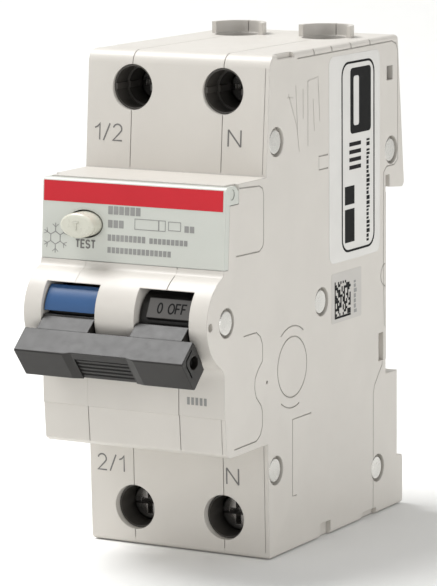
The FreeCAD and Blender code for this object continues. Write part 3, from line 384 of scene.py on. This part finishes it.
# each sign: its width and its lines, for capitals one unit high
SIGNS = {
    "0": (0.50, bowl(0.25, 0.5, 0.25, 0.5)),
    "O": (0.66, bowl(0.33, 0.5, 0.33, 0.5)),
    "1": (0.36, [[(0.0, 0.74), (0.18, 0.82), (0.32, 1.0), (0.32, 0.0)]]),
    "2": (0.60, [HOOK]),
    "/": (0.42, [[(0.0, -0.03), (0.42, 1.03)]]),
    "N": (0.68, [[(0.0, 0.0), (0.0, 1.0)], [(0.0, 1.0), (0.68, 0.0)], [(0.68, 0.0), (0.68, 1.0)]]),
    "F": (0.50, [[(0.50, 1.0), (0.0, 1.0), (0.0, 0.0)], [(0.0, 0.53), (0.42, 0.53)]]),
    "T": (0.60, [[(0.0, 1.0), (0.60, 1.0)], [(0.30, 1.0), (0.30, 0.0)]]),
    "E": (0.52, [[(0.52, 1.0), (0.0, 1.0), (0.0, 0.0), (0.52, 0.0)], [(0.0, 0.52), (0.45, 0.52)]]),
    "S": (0.56, [DOUBLE_CURVE]),
    " ": (0.35, []),
}


def write(name, text, face, x, y, height, material, body="casing", line=0.26, stretch=1.0,
          gap=0.22, lift=LIFT):
    """Print signs from their lower left corner at x, y, with lines of one width."""
    shapes = []
    for sign in text:
        width, paths = SIGNS[sign]
        for path in paths:
            points = [(x + across * height * stretch, y + up * height) for across, up in path]
            shapes.append(ribbon(points, line))
        x += (width + gap) * height * stretch
    return draw(name, face, shapes, material, body, lift)


write("mark_line_upper", "1/2", SHOULDER_TOP, -15.9, 4.7, 2.75, INK, stretch=1.07)
write("mark_neutral_upper", "N", SHOULDER_TOP, 10.05, 4.75, 2.8, INK, stretch=1.25)
write("mark_line_lower", "2/1", SHOULDER_LOW, -16.0, -7.5, 2.75, INK, stretch=1.07)
write("mark_neutral_lower", "N", SHOULDER_LOW, 9.45, -7.6, 2.8, INK, stretch=1.2)
write("mark_test", "TEST", PLATE, -10.9, 2.1, 1.25, INK, line=0.27, gap=0.25)
draw("off_panel", FACET, [rectangle(-3.3, -1.65, 4.75, 1.65)], PAD_GREY, body="toggle")
write("mark_off", "0 OFF", FACET, -1.5, -0.8, 1.65, BLACK_INK, body="toggle", line=0.27,
      stretch=0.97, gap=0.2, lift=OVER)

draw("red_stripe", PLATE, [rectangle(-17.3, 9.55, 17.0, 13.0)], STRIPE)


def text_bars():
    """Rows of small blank blocks where the rating lines sit."""
    gap = 0.2
    # start, level, height, block width, count
    rows = ((-4.7, 7.95, 1.35, 0.86, 6), (-4.7, 5.75, 1.25, 0.86, 3), (-4.7, 3.55, 1.05, 0.62, 9),
            (3.3, 3.55, 0.9, 0.62, 9), (-4.7, 1.55, 0.95, 0.62, 15), (9.9, 5.8, 1.05, 0.8, 2))
    shapes = []
    for x, y, height, width, count in rows:
        for step in range(count):
            left = x + step * (width + gap)
            shapes.append(rectangle(left, y, left + width, y + height))
    return shapes


draw("rating_bars", PLATE, text_bars(), LIGHT_INK)
BOXES = ((0.4, 5.7, 5.0, 7.5), (5.0, 5.7, 6.3, 7.5), (6.8, 5.9, 9.2, 7.4))
draw("rating_boxes", PLATE, [frame_line(*box, 0.1) for box in BOXES], LIGHT_INK)


def snowflake(cx, cy, reach):
    """The six forked arms of the frost mark."""
    shapes = []
    for arm in range(6):
        angle = math.radians(30 + 60 * arm)
        tip = (cx + reach * math.cos(angle), cy + reach * math.sin(angle))
        root = (cx + 0.45 * reach * math.cos(angle), cy + 0.45 * reach * math.sin(angle))
        shapes.append(stroke(*root, *tip, 0.12))
        fork = (cx + 0.72 * reach * math.cos(angle), cy + 0.72 * reach * math.sin(angle))
        for lean in (-1, 1):
            bent = angle + lean * math.radians(50)
            end = (fork[0] + 0.3 * reach * math.cos(bent), fork[1] + 0.3 * reach * math.sin(bent))
            shapes.append(stroke(*fork, *end, 0.1))
    return shapes


def frost_mark():
    """Six arms round a small hexagon."""
    centre, outer, inner = (-14.9, 3.4), 1.15, 1.0
    hexagon = ring(curve_points(*centre, outer, outer, 30, 330, 5),
                   curve_points(*centre, inner, inner, 30, 330, 5))
    return snowflake(*centre, 2.5) + [hexagon]


draw("frost_mark", PLATE, frost_mark(), LIGHT_INK)


# ---------------------------------------------------------------- side labels

def text_run(x, start, end, width, seed):
    """A column of small blocks of uneven length where a line of small print sits."""
    letter_gap, word_gap, word_share = 0.22, 0.55, 0.15
    chance = random.Random(seed)
    shapes = []
    while start < end:
        length = chance.uniform(0.35, 0.75)
        reach = x + width * chance.choice((0.7, 1.0))
        shapes.append(rectangle(x, start, reach, min(end, start + length)))
        start += length + (word_gap if chance.random() < word_share else letter_gap)
    return shapes


draw("side_sticker", SIDE, [rounded(-21.7, 4.8, -2.5, 40.5, 1.6)], STICKER)
draw("side_sticker_line", SIDE,
     [ring(rounded(-17.1, 6.1, -4.6, 39.2, 2.4), rounded(-16.7, 6.5, -5.0, 38.8, 2.1))],
     BLACK_INK, lift=OVER)
draw("side_sticker_block", SIDE, [rounded(-13.8, 26.6, -6.0, 38.0, 0.8)], BLACK_INK, lift=OVER)
draw("side_sticker_window", SIDE, [rounded(-12.6, 28.0, -10.6, 36.6, 0.5)], STICKER,
     lift=OVER + THICK)
draw("side_sticker_bars", SIDE,
     [rectangle(-15.9, 7.8, -12.3, 13.6), rectangle(-15.9, 14.4, -12.3, 17.6)]
     + [rectangle(-14.2, 20.4 + 1.35 * step, -9.8, 21.1 + 1.35 * step) for step in range(4)]
     + text_run(-7.7, 7.2, 25.4, 1.2, 3), BLACK_INK, lift=OVER)
draw("code_label", SIDE, [rounded(-20.9, -5.7, -9.7, 3.0, 0.3)], CODE_PAPER)


def code_blocks():
    """Plain block pattern of the small label, with a solid left and lower border."""
    chance = random.Random(11)
    side, across, up = 13, 0.43, 0.46
    shapes = [rectangle(-19.8, -5.0, -19.45, 1.5), rectangle(-19.45, -5.0, -13.8, -4.62)]
    for row in range(side):
        for column in range(side):
            if chance.random() < 0.5:
                x, y = -19.4 + across * column, -4.58 + up * row
                shapes.append(rectangle(x, y, x + across, y + up))
    return shapes


draw("code_pattern", SIDE, code_blocks(), BLACK_INK, lift=OVER)
draw("code_line", SIDE, text_run(-12.6, -4.8, 0.9, 1.1, 5), LIGHT_INK, lift=OVER)
NOSE = Face((0, -58.6, 0), (1, 0, 0), (0, 0, 1))
draw("nose_code", NOSE,
     [rectangle(10.4 + 0.8 * step, -13.75, 10.9 + 0.8 * step, -12.5) for step in range(5)],
     LIGHT_INK)


def circuit_relief():
    """Faint moulded circuit lines in the upper part of the side."""
    paths = [[(-36.2, 35.6), (-33.4, 30.2), (-32.4, 25.6)], [(-36.6, 35.0), (-34.6, 34.9)],
             [(-29.3, 37.2), (-29.3, 26.2)], [(-29.3, 37.2), (-25.4, 37.6)],
             [(-25.6, 37.3), (-25.0, 30.0)], [(-33.6, 36.8), (-33.0, 29.0)],
             [(-31.0, 36.0), (-31.0, 31.0)], [(-27.4, 34.0), (-27.0, 28.6)]]
    return [ribbon(path, 0.16) for path in paths]


draw("side_relief", SIDE, circuit_relief(), FINISHES["casing_grey"], lift=0.02)


# ---------------------------------------------------------------- stage, light and camera

VIEW_AZIMUTH = math.radians(29.54)
VIEW_ELEVATION = math.radians(9.17)
VIEW_ROLL = math.radians(-0.46)
VIEW_DISTANCE = 579.4 * MM
VIEW_TARGET = Vector((0.28, -30.0, -0.09)) * MM
LENS_LENGTH = 206.5
SENSOR_HEIGHT = 36.0
LIGHT_TARGET = Vector((0, -0.03, 0))


def backdrop():
    """Pale seamless sweep: floor that curves up into a wall."""
    floor = (CASING_LEVEL - STAGE_GAP) * MM
    front, bend_start, bend, top, half_width, steps = -3.0, 0.6, 0.9, 4.0, 4.0, 12
    profile = [(front, floor), (bend_start, floor)]
    for step in range(1, steps + 1):
        angle = math.radians(90.0 * step / steps)
        profile.append((bend_start + bend * math.sin(angle), floor + bend * (1 - math.cos(angle))))
    profile.append((bend_start + bend, top))
    turn = Matrix.Rotation(VIEW_AZIMUTH, 4, "Z")
    corners = [Vector((x, y, z)) for y, z in profile for x in (-half_width, half_width)]
    vertices = [tuple(turn @ corner) for corner in corners]
    faces = [(2 * i, 2 * i + 1, 2 * i + 3, 2 * i + 2) for i in range(len(profile) - 1)]
    mesh = bpy.data.meshes.new("backdrop")
    mesh.from_pydata(vertices, [], faces)
    for polygon in mesh.polygons:
        polygon.use_smooth = True
    mesh.materials.append(surface("backdrop_paper", (0.90, 0.90, 0.885), 0.8, grain=0.05,
                                  spread=0.004, wear=1.0, edge_radius=0.01))
    sheet = bpy.data.objects.new("backdrop", mesh)
    bpy.context.scene.collection.objects.link(sheet)


def area_light(name, place, size, power):
    """Round soft light turned towards the middle of the device."""
    light = bpy.data.lights.new(name, "AREA")
    light.shape = "DISK"
    light.size = size
    light.energy = power
    lamp = bpy.data.objects.new(name, light)
    bpy.context.scene.collection.objects.link(lamp)
    lamp.location = place
    direction = LIGHT_TARGET - Vector(place)
    lamp.rotation_euler = direction.to_track_quat("-Z", "Y").to_euler()


def world():
    """Soft white surroundings."""
    sky = bpy.data.worlds.new("studio")
    sky.use_nodes = True
    background = sky.node_tree.nodes["Background"]
    background.inputs["Color"].default_value = (1.0, 1.0, 1.0, 1.0)
    background.inputs["Strength"].default_value = 0.5
    bpy.context.scene.world = sky


def camera():
    """Long lens at a three-quarter view, a little above the device."""
    back = Vector((math.sin(VIEW_AZIMUTH) * math.cos(VIEW_ELEVATION),
                   -math.cos(VIEW_AZIMUTH) * math.cos(VIEW_ELEVATION),
                   math.sin(VIEW_ELEVATION)))
    level_right = Vector((0, 0, 1)).cross(back).normalized()
    level_up = back.cross(level_right)
    right = level_right * math.cos(VIEW_ROLL) + level_up * math.sin(VIEW_ROLL)
    up = back.cross(right)
    lens = bpy.data.cameras.new("camera")
    lens.sensor_fit = "VERTICAL"
    lens.sensor_height = SENSOR_HEIGHT
    lens.lens = LENS_LENGTH
    viewer = bpy.data.objects.new("camera", lens)
    turn = Matrix((right, up, back)).transposed().to_4x4()
    viewer.matrix_world = Matrix.Translation(VIEW_TARGET + back * VIEW_DISTANCE) @ turn
    bpy.context.scene.collection.objects.link(viewer)
    bpy.context.scene.camera = viewer


backdrop()
area_light("key", (-0.55, -0.12, 1.05), 0.7, 15.0)
area_light("fill", (1.12, -0.40, 0.10), 0.8, 5.2)
area_light("front", (-0.5, -1.2, 0.35), 0.8, 1.2)
world()
camera()
bpy.context.scene.view_settings.view_transform = "Standard"
